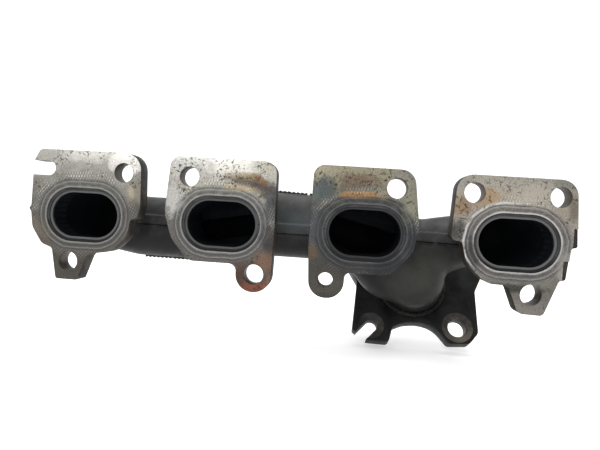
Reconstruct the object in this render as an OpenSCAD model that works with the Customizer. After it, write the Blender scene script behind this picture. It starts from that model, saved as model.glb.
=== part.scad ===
// Air-gap insulated exhaust manifold for four ports in line: four head flanges, a pressed
// two-piece outer shell, thin gas pipes inside it, and a four-bolt outlet flange.
// X runs along the ports, +Y points away from the cylinder head and +Z is up.
// The head face is Y = 0, and the origin is on the port line midway between ports 2 and 3.

/* [Head flanges] */
// Distance between the centres of neighbouring ports
port_pitch = 90; // [89:0.5:92]
// Thickness of the head flanges
flange_t = 11; // [10:0.5:12]
// Half width of the oval port
port_hw = 25.1; // [24.8:0.1:25.3]
// Half height of the oval port
port_hh = 17.4; // [17.2:0.1:17.6]
// Radius of the clearance holes for the studs
stud_r = 6.25; // [5.5:0.05:6.5]
// Radius of the locating hole, and half the width of the open slots
locate_r = 4.65; // [4.4:0.05:4.9]
// Height of the upper row of stud holes above the ports
upper_z = 28.5; // [28:0.5:29]
// Depth of the lower row of stud holes below the ports
lower_z = 30.3; // [30:0.1:30.6]

/* [Outer shell] */
// Wall thickness of the pressed shell halves
shell_t = 1.5; // [1.3:0.1:1.6]
// Distance from the head face to the axis of the collecting pipe
log_y = 48; // [47:0.5:49]
// Height of the lap seam between the shell halves
seam_z = -1; // [-2:0.5:0]
// How far the upper half reaches down over the lower half
lap_h = 3; // [2:0.5:4]
// Leg of the weld beads
weld_leg = 3; // [2:0.5:3.5]

/* [Gas pipes] */
// Wall thickness of the gas pipes
liner_t = 1.4; // [1.2:0.1:1.5]
// Outer radius of the slip tubes
tube_r = 16.5; // [16:0.1:16.6]
// Radial running clearance of a slip tube in its sockets
tube_fit = 0.05; // [0.03:0.01:0.08]
// Depth of a slip socket
socket_d = 10; // [8:1:12]
// Travel of a slip tube each way before it meets a shoulder
slip_travel = 1.5; // [1:0.1:2]

/* [Outlet] */
// Thickness of the outlet flange
outlet_t = 11; // [10:0.5:12]
// Angle of the outlet below the horizontal
outlet_tilt = 28; // [27:0.5:29]
// Turn of the outlet flange about its own axis
outlet_roll = 3.3; // [0:0.1:4]
// Radius of the bolt holes in the outlet flange
outlet_hole_r = 6.5; // [6:0.1:7]
// Outer radius of the shell where it enters the outlet flange
horn_r = 22.5; // [22:0.1:23]

/* [Hidden] */
$fn = 48;

flange_colour = [0.55, 0.53, 0.50];
shell_colour = [0.17, 0.17, 0.18];
liner_colour = [0.22, 0.23, 0.26];
weld_colour = [0.28, 0.27, 0.26];
mesh_colour = [0.45, 0.44, 0.42];

port_x = [for (i = [-1.5 : 1.5]) i * port_pitch];
nothing = 0.01;
shell_fn = 28;
pipe_fn = 24;

// ---- outlines with rounded corners: each corner is [x, z, radius] ----

function unit(v) = v / norm(v);
function turn(v) = atan2(v[1], v[0]);
function short_way(a) = a > 180 ? a - 360 : a < -180 ? a + 360 : a;
function corner(before, at, after) =
    let (
        a = unit([before[0] - at[0], before[1] - at[1]]),
        b = unit([after[0] - at[0], after[1] - at[1]]),
        half = acos(a * b) / 2,
        centre = [at[0], at[1]] + unit(a + b) * at[2] / sin(half),
        first = turn([at[0], at[1]] + a * at[2] / tan(half) - centre),
        last = turn([at[0], at[1]] + b * at[2] / tan(half) - centre),
        sweep = short_way(last - first),
        steps = max(2, ceil(abs(sweep) / 12))
    )
    [for (i = [0 : steps]) centre + at[2] * [cos(first + sweep * i / steps), sin(first + sweep * i / steps)]];
function rounded(p) =
    [for (i = [0 : len(p) - 1]) each corner(p[(i + len(p) - 1) % len(p)], p[i], p[(i + 1) % len(p)])];

module oval(hw, hh) {
    square([2 * (hw - hh), 2 * hh], center = true);
    for (s = [-1, 1]) translate([s * (hw - hh), 0]) circle(hh);
}

// A flat shape drawn in X and Z, made solid from Y = from to Y = to
module upright(from, to) {
    translate([0, to, 0]) rotate([90, 0, 0]) linear_extrude(to - from) children();
}

// ---- head flanges ----

outline_1 = [
    [-34.9, 33.7, 1.5], [-30.8, 41.2, 4], [36.4, 41.2, 11], [37.5, 8, 6], [35.9, 0.4, 2],
    [31.3, -1.2, 2], [29.6, -12, 10], [20, -22.3, 13], [3.8, -24.9, 4], [-2.4, -42.2, 1.5],
    [-16.9, -42.2, 2], [-20.4, -22.4, 3], [-27.5, -20, 6], [-34.4, -9.5, 9], [-35.6, 0.2, 1.5],
    [-37, 2.4, 0.5], [-35.7, 4.6, 1.5], [-35.3, 24.4, 1]
];
outline_2 = [
    [-33.8, 41.1, 7], [33.7, 40.7, 8], [34.4, 0, 20], [33.6, -41.5, 11], [11.3, -41.5, 11],
    [11.3, -24.5, 4.5], [-19.5, -24.5, 8], [-31.5, -11, 16], [-36.6, 5, 16]
];
outline_3 = [
    [-33.2, 40.5, 7], [28, 40, 9.5], [32.6, 5, 14], [29.5, -10.5, 14], [17, -25, 12],
    [-10.6, -25, 3.5], [-11, -41.5, 10.5], [-32.2, -41.5, 10.5], [-34, -10, 20]
];
outline_4 = [
    [-36.5, 39.4, 10], [32.2, 39, 10], [33.8, 15, 15], [34.8, -0.7, 1.5], [31, -1.2, 1.5],
    [29.3, -20.4, 1.5], [25.4, -20.9, 1.5], [17.6, -42.3, 3], [3.2, -42, 4.5], [-3.4, -25.6, 4],
    [-16, -25.4, 12], [-28.5, -14.5, 12], [-31.8, -1.2, 2], [-38.5, -0.4, 3]
];
// Stud holes of each flange, measured from its own port centre
stud_holes = [
    [[25.5, upper_z], [-9, -lower_z]],
    [[-21.5, upper_z], [22.7, -lower_z]],
    [[18, upper_z]],
    [[-26.3, upper_z], [23.3, upper_z], [10, -lower_z]]
];
locating_hole = [-22.3, -lower_z];
slot_end = [-24.8, 29];
slot_run = 20;
patch_depth = 1;

module head_flange(i, outline) {
    color(flange_colour) translate([port_x[i], 0, 0]) difference() {
        upright(0, flange_t) polygon(rounded(outline));
        upright(-1, flange_t + 1) oval(port_hw, port_hh);
        for (h = stud_holes[i]) upright(-1, flange_t + 1) translate(h) circle(stud_r);
        children();
    }
}
module head_flange_1() {
    head_flange(0, outline_1) {
        upright(-1, flange_t + 1) union() {
            translate(slot_end) circle(locate_r);
            translate(slot_end - [slot_run, locate_r]) square([slot_run, 2 * locate_r]);
        }
    }
}
module head_flange_2() {
    head_flange(1, outline_2);
}
module head_flange_3() {
    head_flange(2, outline_3) {
        upright(-1, flange_t + 1) translate(locating_hole) circle(locate_r);
    }
}
module head_flange_4() {
    head_flange(3, outline_4) {
        upright(-1, patch_depth) union() {
            translate([27, -22]) square([8, 13]);
            translate([31.8, -2]) square([4, 12.5]);
        }
    }
}

// ---- outlet flange, drawn flat with x to the right, y down and z the way the gas leaves ----

outlet_at = [85.4, 72, -38.7];
outlet_outline = [
    [-40.6, -1.5, 4], [-44.6, 35, 1.5], [-34.8, 42.6, 1.5], [-18.6, 43.8, 3], [-15.4, 32.6, 3.5], [-8, 29.6, 15],
    [2, 28.4, 25], [14.5, 31.4, 20], [24, 43.9, 3.5], [38.4, 43.6, 4], [45.2, 36, 5], [46.4, 5, 4],
    [52.6, -7, 5], [53, -30, 9], [45, -42, 8], [28, -42, 8], [18, -33, 8], [-18, -33, 8],
    [-28, -42, 8], [-44, -42, 8], [-51, -30, 9], [-48.5, -16, 5]
];
outlet_slot = [-31, 32];
outlet_lower_hole = [31, 32];
outlet_upper_holes = [[-38, -30], [38, -30]];
spot_r = 11;
slot_spot_r = 9.6;
slot_half = locate_r - 0.05;
spot_depth = 0.8;
countersink = 1.1;

module in_outlet() {
    translate(outlet_at) rotate([-90 - outlet_tilt, 0, 0]) rotate([0, 0, -outlet_roll]) children();
}
module outlet_flange() {
    color(shell_colour) in_outlet() difference() {
        linear_extrude(outlet_t) polygon(rounded(outlet_outline));
        translate([0, 0, -1]) cylinder(r = horn_r, h = outlet_t + 2);
        for (h = concat([outlet_lower_hole], outlet_upper_holes)) {
            translate([h[0], h[1], -1]) cylinder(r = outlet_hole_r, h = outlet_t + 2);
        }
        translate([outlet_lower_hole[0], outlet_lower_hole[1], -1]) cylinder(r = spot_r, h = 1 + spot_depth);
        translate([outlet_lower_hole[0], outlet_lower_hole[1], spot_depth])
            cylinder(r1 = outlet_hole_r + countersink, r2 = outlet_hole_r - 0.4, h = countersink + 0.4);
        translate([outlet_slot[0], outlet_slot[1], -1]) cylinder(r = slot_spot_r, h = 1 + spot_depth);
        translate([outlet_slot[0], outlet_slot[1], -1]) linear_extrude(outlet_t + 2) {
            circle(locate_r);
            rotate(135) translate([0, -slot_half]) square([slot_run + 10, 2 * slot_half]);
        }
    }
}

// ---- outer shell: balls along each pipe's axis as [x, y, z, radius], joined pair by pair ----

elbow_ball = [port_x[0] + 3, log_y - 10, -3, 20.5];
log_pipe = [
    elbow_ball, [port_x[0] + 21, log_y - 0.5, -6.5, 21.6], [port_x[1] - 29, log_y, -6.6, 21.6],
    [port_x[1], log_y, -2.5, 22.3], [port_x[1] + 27, log_y, 0.8, 23.2], [port_x[2] - 27, log_y, 0.2, 22.5],
    [port_x[2], log_y, 0, 23], [72, log_y, -7, 21.5]
];
funnel_pipe = [log_pipe[6], [53, 46, -12, 22], [66, 46, -22, 25], [83.5, 47, -31, 20.5]];
runner_pipe = [
    [port_x[3] - 2, 36, -0.5, 18.8], [port_x[3] - 18, 45, -0.8, 17.2], [98, 46, -7, 20], [84, 48, -12, 22],
    [83.5, 47, -31, 20.5]
];
horn_pipe = [[66, 46, -22, 25], [79, 50, -28, 22.5]];
horn_reach = 8;
port_ends = [elbow_ball, log_pipe[3], log_pipe[6], runner_pipe[0]];
neck_start = 0.8;
neck_ends = [20, 36, 36, 20];

module ball(b, inset) {
    translate([b[0], b[1], b[2]]) sphere(r = b[3] - inset, $fn = shell_fn);
}
module pipe(balls, inset) {
    for (i = [0 : len(balls) - 2]) {
        hull() {
            ball(balls[i], inset);
            ball(balls[i + 1], inset);
        }
    }
}
module neck(i, inset, from, to) {
    translate([port_x[i], 0, 0]) upright(from, to) oval(port_hw - inset, port_hh - inset, $fn = shell_fn);
}
// The whole hollow shape of the manifold, drawn smaller all round by inset
module body_shape(inset, mouth) {
    pipe(log_pipe, inset);
    pipe(funnel_pipe, inset);
    pipe(runner_pipe, inset);
    pipe(horn_pipe, inset);
    for (from = [log_pipe[7], horn_pipe[1]]) {
        hull() {
            ball(from, inset);
            in_outlet() translate([0, 0, -horn_reach]) cylinder(r = horn_r - inset, h = 1, $fn = shell_fn);
        }
    }
    in_outlet() translate([0, 0, -horn_reach])
        cylinder(r = horn_r - inset, h = horn_reach + outlet_t - 2 + mouth, $fn = shell_fn);
    for (i = [0 : 3]) {
        neck(i, inset, neck_start - mouth, neck_ends[i]);
        hull() {
            neck(i, inset, neck_ends[i] - 5, neck_ends[i]);
            ball(port_ends[i], inset);
        }
    }
}
module skin() {
    difference() {
        body_shape(0, 0);
        body_shape(shell_t, 1);
    }
}
// The metal between two offsets of the body shape, between two heights and clear of the head flanges
module band(outer, inner, low, high, from_y, to_y) {
    intersection() {
        difference() {
            body_shape(outer, 0);
            body_shape(inner, 1);
        }
        translate([-200, from_y, low]) cube([400, to_y - from_y, high - low]);
    }
}
lap_top = seam_z + 2;
lap_bottom = seam_z - lap_h;
behind_weld = flange_t + weld_leg + 0.5;
bead_h = 1.8;
back_y = 120;

module upper_shell() {
    color(shell_colour) union() {
        intersection() {
            skin();
            translate([-200, 0, lap_top + 0.2]) cube([400, back_y, 60]);
        }
        band(-shell_t, shell_t, lap_top + 0.2, lap_top + shell_t, behind_weld, back_y);
        band(-shell_t, 0, lap_bottom, lap_top + 0.6, behind_weld, back_y);
    }
}
module lower_shell() {
    color(shell_colour) intersection() {
        skin();
        translate([-200, 0, lap_top - 90]) cube([400, back_y, 90]);
    }
}
module seam_weld_front() {
    color(weld_colour) band(-shell_t, 0, lap_bottom - bead_h, lap_bottom, behind_weld, log_y);
}
module seam_weld_rear() {
    color(weld_colour) band(-shell_t, 0, lap_bottom - bead_h, lap_bottom, log_y, back_y);
}

// ---- welds round the necks ----

module fillet_section(from) {
    polygon([[from, 0], [from + weld_leg, 0], [from, weld_leg]]);
}
module flange_weld(i) {
    straight = port_hw - port_hh;
    color(weld_colour) translate([port_x[i], flange_t, 0]) rotate([-90, 0, 0]) union() {
        for (s = [0, 1]) mirror([s, 0, 0]) translate([straight, 0, 0]) rotate([0, 0, -90])
            rotate_extrude(angle = 180) fillet_section(port_hh);
        for (s = [0, 1]) mirror([0, s, 0]) translate([-straight, 0, 0]) rotate([90, 0, 90])
            linear_extrude(2 * straight) fillet_section(port_hh);
    }
}
module flange_weld_1() {
    flange_weld(0);
}
module flange_weld_2() {
    flange_weld(1);
}
module flange_weld_3() {
    flange_weld(2);
}
module flange_weld_4() {
    flange_weld(3);
}
module outlet_weld() {
    color(weld_colour) in_outlet() mirror([0, 0, 1]) rotate_extrude() fillet_section(horn_r);
}

// ---- gas pipes, slip tubes and mesh rings ----

gap = 0.2;
liner_hw = port_hw - shell_t - gap;
liner_hh = port_hh - shell_t - gap;
liner_start = 1.6;
socket_r = tube_r + tube_fit;
barrel_r = socket_r + 1.45;
throat_r = tube_r - 1.2;
left_z = -6.6;
right_z = 0.8;
mouth_1 = port_x[0] + 37;
mouth_2a = port_x[1] - 35;
mouth_2b = port_x[1] + 35;
mouth_3 = port_x[2] - 35;
branch_end = 36;

module along_x(from, to, z, r) {
    translate([from, log_y, z]) rotate([0, 90, 0]) cylinder(r = r, h = to - from);
}
module disc(x, z, r) {
    translate([x - 0.5, log_y, z]) rotate([0, 90, 0]) cylinder(r = r, h = 1, $fn = pipe_fn);
}
module pipe_ball(p, r) {
    translate(p) sphere(r = r, $fn = pipe_fn);
}
module branch(i, inset, from, to) {
    translate([port_x[i], 0, 0]) upright(from, to) oval(liner_hw - inset, liner_hh - inset);
}
module branch_slab(i, inset, y) {
    translate([port_x[i], 0, 0]) upright(y - 1, y) oval(liner_hw - inset, liner_hh - inset, $fn = pipe_fn);
}

elbow_1 = [port_x[0] + 5, log_y - 11, -3];
module elbow_body_1(inset, mouth) {
    branch(0, inset, liner_start - mouth, 17);
    hull() {
        branch_slab(0, inset, 17);
        pipe_ball(elbow_1, 17.3 - inset);
    }
    hull() {
        pipe_ball(elbow_1, 17.3 - inset);
        disc(mouth_1 - socket_d - 5, left_z, barrel_r - inset);
    }
}
module liner_1() {
    color(liner_colour) difference() {
        union() {
            elbow_body_1(0, 0);
            along_x(mouth_1 - socket_d - 5, mouth_1, left_z, barrel_r);
        }
        elbow_body_1(liner_t, 1);
        along_x(mouth_1 - socket_d - 6, mouth_1 + 1, left_z, throat_r);
        along_x(mouth_1 - socket_d, mouth_1 + 1, left_z, socket_r);
    }
}

module liner_2() {
    a = mouth_2a + socket_d + 5;
    b = mouth_2b - socket_d - 5;
    color(liner_colour) difference() {
        union() {
            branch(1, 0, liner_start, branch_end);
            along_x(mouth_2a, a, left_z, barrel_r);
            along_x(b, mouth_2b, right_z, barrel_r);
            hull() {
                disc(a, left_z, barrel_r);
                disc(b, right_z, barrel_r);
            }
        }
        branch(1, liner_t, liner_start - 1, branch_end - liner_t);
        hull() {
            disc(a, left_z, throat_r);
            disc(b, right_z, throat_r);
        }
        along_x(mouth_2a - 1, a + 1, left_z, throat_r);
        along_x(b - 1, mouth_2b + 1, right_z, throat_r);
        along_x(mouth_2a - 1, mouth_2a + socket_d, left_z, socket_r);
        along_x(mouth_2b - socket_d, mouth_2b + 1, right_z, socket_r);
    }
}

// The collector takes port 3 and both ends of the row, and ends in the outlet flange
gather = [66, log_y - 1, -13];
spigot_r = 19;
side_mouth = [104, 46, -4.5];
side_dir = unit([20, 0, 8]);
side_r = 14.4;
step_in = 0.4;
module at_side() {
    translate(side_mouth) rotate([0, atan2(side_dir[0], side_dir[2]), 0]) children();
}
module collector_body(inset) {
    hull() {
        disc(mouth_3 + socket_d + 5, right_z, barrel_r - step_in - inset);
        pipe_ball(gather, 19.3 - inset);
    }
    hull() {
        pipe_ball(gather, 19.3 - inset);
        in_outlet() translate([0, 0, -9]) cylinder(r = spigot_r - step_in - inset, h = 1, $fn = pipe_fn);
    }
    hull() {
        pipe_ball(gather, 17 - inset);
        at_side() translate([0, 0, -13]) cylinder(r = side_r - step_in - inset, h = 1, $fn = pipe_fn);
    }
}
module collector_liner() {
    // Its pipes cross at shallow angles, so it is built as one mesh
    color(liner_colour) minkowski() difference() {
        union() {
            branch(2, 0, liner_start, branch_end);
            along_x(mouth_3, mouth_3 + socket_d + 5, right_z, barrel_r);
            collector_body(0);
            in_outlet() translate([0, 0, -9]) cylinder(r = spigot_r, h = outlet_t + 7);
            at_side() translate([0, 0, -13]) cylinder(r = side_r, h = 13);
        }
        branch(2, liner_t, liner_start - 1, branch_end - liner_t);
        collector_body(liner_t);
        along_x(mouth_3 - 1, mouth_3 + socket_d + 6, right_z, throat_r);
        along_x(mouth_3 - 1, mouth_3 + socket_d, right_z, socket_r);
        in_outlet() translate([0, 0, -10]) cylinder(r = spigot_r - liner_t, h = outlet_t + 9);
        at_side() translate([0, 0, -14]) cylinder(r = side_r - liner_t, h = 15);
    }
}

// Liner 4 slips into the collector's side mouth
elbow_4 = [port_x[3] - 4, log_y - 11, -1];
spigot_4 = side_r - liner_t - tube_fit;
module elbow_body_4(inset, mouth) {
    branch(3, inset, liner_start - mouth, 17);
    hull() {
        branch_slab(3, inset, 17);
        pipe_ball(elbow_4, 15.6 - inset);
    }
    hull() {
        pipe_ball(elbow_4, 15.6 - inset);
        at_side() translate([0, 0, 8]) cylinder(r = spigot_4 - step_in - inset, h = 1, $fn = pipe_fn);
    }
}
module liner_4() {
    color(liner_colour) difference() {
        union() {
            elbow_body_4(0, 0);
            at_side() translate([0, 0, -8]) cylinder(r = spigot_4, h = 17);
        }
        elbow_body_4(liner_t, 1);
        at_side() translate([0, 0, -9]) cylinder(r = spigot_4 - liner_t, h = 18);
    }
}

module slip_tube(from, to, z) {
    color(liner_colour) difference() {
        along_x(from, to, z, tube_r);
        along_x(from - 1, to + 1, z, throat_r);
    }
}
module slip_tube_1_2() {
    slip_tube(mouth_1 - socket_d + slip_travel, mouth_2a + socket_d - slip_travel, left_z);
}
module slip_tube_2_3() {
    slip_tube(mouth_2b - socket_d + slip_travel, mouth_3 + socket_d - slip_travel, right_z);
}

module mesh_ring(from, to, z, r) {
    color(mesh_colour) difference() {
        along_x(from, to, z, r);
        along_x(from - 1, to + 1, z, barrel_r + nothing);
    }
}
module mesh_ring_1_2() {
    mesh_ring(mouth_1 - 9, mouth_1 - 3, left_z, 19.5);
}
module mesh_ring_2_3() {
    mesh_ring(mouth_2b - 9, mouth_2b - 3, right_z, 21);
}
module mesh_ring_3_4() {
    color(mesh_colour) at_side() difference() {
        translate([0, 0, -7]) cylinder(r = side_r + 1.6, h = 5);
        translate([0, 0, -8]) cylinder(r = side_r + nothing, h = 7);
    }
}
module outlet_mesh_ring() {
    color(mesh_colour) in_outlet() difference() {
        translate([0, 0, 1]) cylinder(r = horn_r - shell_t - 0.3, h = 6);
        cylinder(r = spigot_r + nothing, h = 8);
    }
}

head_flange_1();
head_flange_2();
head_flange_3();
head_flange_4();
outlet_flange();
upper_shell();
lower_shell();
liner_1();
liner_2();
collector_liner();
liner_4();
slip_tube_1_2();
slip_tube_2_3();
mesh_ring_1_2();
mesh_ring_2_3();
mesh_ring_3_4();
outlet_mesh_ring();
flange_weld_1();
flange_weld_2();
flange_weld_3();
flange_weld_4();
outlet_weld();
seam_weld_front();
seam_weld_rear();
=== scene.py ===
# %% [markdown]
# # An exhaust manifold, built piece by piece
# A manifold gathers the hot gas of four cylinders. This one has four machined head flanges, a
# dark pressed shell with a lap seam, thin gas pipes inside it and a tilted outlet flange.
# We start from the fixed frame, which holds every part at its true size and place in metres.
# +X runs along the ports, +Y points away from the cylinder head and +Z is up.

# %% Load the frame
import math
import bpy
from mathutils import Matrix, Vector


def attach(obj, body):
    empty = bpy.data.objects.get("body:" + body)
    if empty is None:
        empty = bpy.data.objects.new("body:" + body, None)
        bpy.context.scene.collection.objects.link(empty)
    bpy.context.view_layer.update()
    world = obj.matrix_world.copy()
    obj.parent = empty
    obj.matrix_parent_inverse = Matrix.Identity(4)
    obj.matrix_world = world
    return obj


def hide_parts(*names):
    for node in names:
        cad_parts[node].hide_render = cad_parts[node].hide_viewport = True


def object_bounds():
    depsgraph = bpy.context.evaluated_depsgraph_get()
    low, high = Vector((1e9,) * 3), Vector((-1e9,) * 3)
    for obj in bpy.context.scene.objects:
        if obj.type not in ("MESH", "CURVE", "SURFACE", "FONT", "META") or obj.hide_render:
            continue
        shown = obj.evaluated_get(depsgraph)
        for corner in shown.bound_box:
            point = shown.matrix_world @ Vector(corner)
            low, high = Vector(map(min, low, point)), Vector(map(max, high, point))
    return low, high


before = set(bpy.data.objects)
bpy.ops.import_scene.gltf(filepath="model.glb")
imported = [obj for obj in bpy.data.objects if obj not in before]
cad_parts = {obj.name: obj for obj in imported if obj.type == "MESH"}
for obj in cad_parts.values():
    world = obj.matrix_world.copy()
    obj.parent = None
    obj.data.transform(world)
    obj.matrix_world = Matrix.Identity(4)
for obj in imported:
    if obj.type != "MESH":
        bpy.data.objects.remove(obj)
frame_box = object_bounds()
mm = 0.001

# %% [markdown]
# Every operator works on what is selected, so each step starts by selecting only what it needs.
# Faces and points are picked in code by where they are, as a person would click on them.

# %% Selecting helpers
def only(*pieces):
    """Selects these pieces and nothing else, in object mode."""
    if bpy.context.object and bpy.context.object.mode != "OBJECT":
        bpy.ops.object.mode_set(mode="OBJECT")
    bpy.ops.object.select_all(action="DESELECT")
    for piece in pieces:
        piece.select_set(True)
    bpy.context.view_layer.objects.active = pieces[0]
    return pieces[0]


def pick_points(piece, test):
    """Selects the points whose place passes the test, and leaves the piece in edit mode."""
    only(piece)
    bpy.ops.object.mode_set(mode="EDIT")
    bpy.ops.mesh.select_mode(type="VERT")
    bpy.ops.mesh.select_all(action="DESELECT")
    bpy.ops.object.mode_set(mode="OBJECT")
    for point in piece.data.vertices:
        point.select = test(point.co)
    bpy.ops.object.mode_set(mode="EDIT")


def pick_faces(piece, test):
    """Selects the faces whose middle and normal pass the test, and leaves the piece in edit mode."""
    only(piece)
    bpy.ops.object.mode_set(mode="EDIT")
    bpy.ops.mesh.select_mode(type="FACE")
    bpy.ops.mesh.select_all(action="DESELECT")
    bpy.ops.object.mode_set(mode="OBJECT")
    for face in piece.data.polygons:
        face.select = test(face.center, face.normal)
    bpy.ops.object.mode_set(mode="EDIT")


def done():
    """Back to object mode, with the piece's place moved into its mesh."""
    bpy.ops.object.mode_set(mode="OBJECT")
    bpy.ops.object.transform_apply(location=True, rotation=True, scale=True)
    return bpy.context.object


def named(piece, name):
    piece.name = name
    piece.data.name = name
    return piece


def copy_of(piece, name):
    """A copy with a mesh of its own."""
    only(piece)
    bpy.ops.object.duplicate()
    return named(bpy.context.object, name)


def add_modifier(piece, kind, **settings):
    """Adds a modifier, sets it and applies it."""
    only(piece)
    modifier = piece.modifiers.new(kind.title(), kind)
    for key, value in settings.items():
        setattr(modifier, key, value)
    bpy.ops.object.modifier_apply(modifier=modifier.name)


print("helpers ready")

# %% [markdown]
# The main sizes are the same as in the frame: port centres 90 mm apart, oval ports 50.2 mm wide
# and 34.8 mm high, a shell wall of 1.5 mm and a head flange 11 mm thick. The outlet flange has its
# own small set of axes: right, down, and the way the gas leaves.

# %% Sizes
port_x = [-135 * mm, -45 * mm, 45 * mm, 135 * mm]
port_hw = 25.1 * mm
port_hh = 17.4 * mm
port_straight = port_hw - port_hh
flange_t = 11 * mm
shell_t = 1.5 * mm
lap_top = 1 * mm
lap_bottom = -4 * mm
lap_edge = 1.3 * mm
joggle_top = 2.8 * mm
behind_weld = 15.4 * mm
lap_full = 17.5 * mm
lap_push = 1.45 * mm
seam_middle = 48 * mm
horn_r = 22.5 * mm
outlet_t = 11 * mm
outlet = (Matrix.Translation((85.4 * mm, 72 * mm, -38.7 * mm))
          @ Matrix.Rotation(math.radians(-118), 4, "X") @ Matrix.Rotation(math.radians(-3.3), 4, "Z"))
outlet_way = (outlet.to_3x3() @ Vector((0, 0, 1))).normalized()
print("outlet points", tuple(round(c, 3) for c in outlet_way))

# %% [markdown]
# ## Finishes
# All the metal is steel, and heat and soot make the difference between its parts. Each finish is a
# small network of nodes on Object coordinates, so its pattern stays on the metal from all sides.
# These helpers keep the networks short to write: one adds a node, one joins noise to colours.

# %% Node helpers
class Finish:
    """A material under construction, with one short method for each kind of node."""

    def __init__(self, name):
        self.material = bpy.data.materials.new(name)
        self.material.use_nodes = True
        self.tree = self.material.node_tree
        self.shader = self.tree.nodes["Principled BSDF"]
        self.place = self.node("ShaderNodeTexCoord").outputs["Object"]

    def node(self, kind, **settings):
        made = self.tree.nodes.new(kind)
        for key, value in settings.items():
            setattr(made, key, value)
        return made

    def feed(self, socket, value):
        if hasattr(value, "is_linked") or isinstance(value, bpy.types.NodeSocket):
            self.tree.links.new(value, socket)
        elif isinstance(value, tuple) and len(value) == 3 and socket.type == "RGBA":
            socket.default_value = (*value, 1)
        else:
            socket.default_value = value

    def math(self, operation, a, b=0.0, clamp=False):
        made = self.node("ShaderNodeMath", operation=operation, use_clamp=clamp)
        self.feed(made.inputs[0], a)
        self.feed(made.inputs[1], b)
        return made.outputs[0]

    def times(self, *values):
        """All the values multiplied together."""
        product = values[0]
        for value in values[1:]:
            product = self.math("MULTIPLY", product, value)
        return product

    def span(self, value, start, length):
        """0 up to the start and 1 from a length further on, with a straight rise between."""
        return self.math("DIVIDE", self.math("SUBTRACT", value, start), length, clamp=True)

    def swing(self, noise, size):
        """Noise that goes up and down about zero, over this size in all."""
        return self.math("MULTIPLY", self.math("SUBTRACT", noise, 0.5), size)

    def moved(self, shift, turn=0.0, stretch=(1, 1, 1)):
        """Object coordinates seen from another middle, turned in the flange's plane and stretched."""
        first = self.node("ShaderNodeMapping")
        self.feed(first.inputs["Vector"], self.place)
        first.inputs["Location"].default_value = [-c for c in shift]
        second = self.node("ShaderNodeMapping")
        self.feed(second.inputs["Vector"], first.outputs[0])
        second.inputs["Rotation"].default_value = (0, turn, 0)
        third = self.node("ShaderNodeMapping")
        self.feed(third.inputs["Vector"], second.outputs[0])
        third.inputs["Scale"].default_value = stretch
        return third.outputs[0]

    def noise(self, size, detail=3.0, rough=0.55, place=None, warp=0.0):
        made = self.node("ShaderNodeTexNoise")
        self.feed(made.inputs["Vector"], place or self.place)
        made.inputs["Scale"].default_value = 1 / size
        made.inputs["Detail"].default_value = detail
        made.inputs["Roughness"].default_value = rough
        made.inputs["Distortion"].default_value = warp
        return made.outputs["Fac"]

    def ramp(self, value, *stops):
        """Colours or greys along a value: each stop is (where, colour)."""
        made = self.node("ShaderNodeValToRGB")
        self.feed(made.inputs[0], value)
        bar = made.color_ramp
        while len(bar.elements) < len(stops):
            bar.elements.new(0.5)
        for element, (where, colour) in zip(bar.elements, stops):
            element.position = where
            colour = (colour, colour, colour) if isinstance(colour, (int, float)) else colour
            element.color = (*colour[:3], 1)
        return made.outputs[0]

    def mix(self, share, a, b, kind="MIX"):
        made = self.node("ShaderNodeMix", data_type="RGBA", blend_type=kind, clamp_factor=True)
        self.feed(made.inputs["Factor"], share)
        for name, value in (("A", a), ("B", b)):
            socket = [s for s in made.inputs if s.name == name and s.type == "RGBA"][0]
            self.feed(socket, (*value[:3], 1) if isinstance(value, (tuple, list)) else value)
        return [s for s in made.outputs if s.type == "RGBA"][0]

    def spot(self, middle, width, height, turn=0.0, edge=0.5, ragged=0.35, grain=5 * mm):
        """A soft ragged patch: 1 in its middle and 0 outside."""
        where = self.moved(middle, turn, (1 / width, 0, 1 / height))
        length = self.node("ShaderNodeVectorMath", operation="LENGTH")
        self.feed(length.inputs[0], where)
        reach = self.math("ADD", length.outputs["Value"], self.swing(self.noise(grain, 4), ragged * 2))
        return self.ramp(reach, (max(1 - edge, 0.01), 1.0), (1.0, 0.0))

    def bump(self, height, depth, distance=1 * mm, under=None):
        made = self.node("ShaderNodeBump")
        self.feed(made.inputs["Height"], height)
        made.inputs["Strength"].default_value = depth
        made.inputs["Distance"].default_value = distance
        if under is not None:
            self.feed(made.inputs["Normal"], under)
        return made.outputs[0]

    def finish(self, colour, roughness, normal=None, metallic=0.0, specular=0.5):
        self.feed(self.shader.inputs["Base Color"], colour)
        self.feed(self.shader.inputs["Roughness"], roughness)
        self.feed(self.shader.inputs["Metallic"], metallic)
        self.feed(self.shader.inputs["Specular IOR Level"], specular)
        if normal is not None:
            self.feed(self.shader.inputs["Normal"], normal)
        return self.material


room_gain = 1.5


def paint(red, green, blue):
    """The colour that shows as these display values, 0 to 255, under this scene's light."""
    def line(v):
        v = min(max(v, 0), 255) / 255
        return (((v + 0.055) / 1.055) ** 2.4 if v > 0.04 else v / 12.92) / room_gain
    return (line(red), line(green), line(blue))


def grey(value, warm=0.0):
    """A grey by its display value, a little warm or cold."""
    return paint(value * (1 + warm), value, value * (1 - warm))


print("node helpers ready")

# %% [markdown]
# **Milled faces.** The gasket faces were cut with a large milling cutter, which leaves fine crossed
# arcs. The gasket then printed dark rings round the port, and heat tinted the bare metal. The
# rings follow the oval port. A point's distance from it is found as if the oval were a circle
# whose two halves are drawn apart: the straight part in the middle is first taken off.

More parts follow.
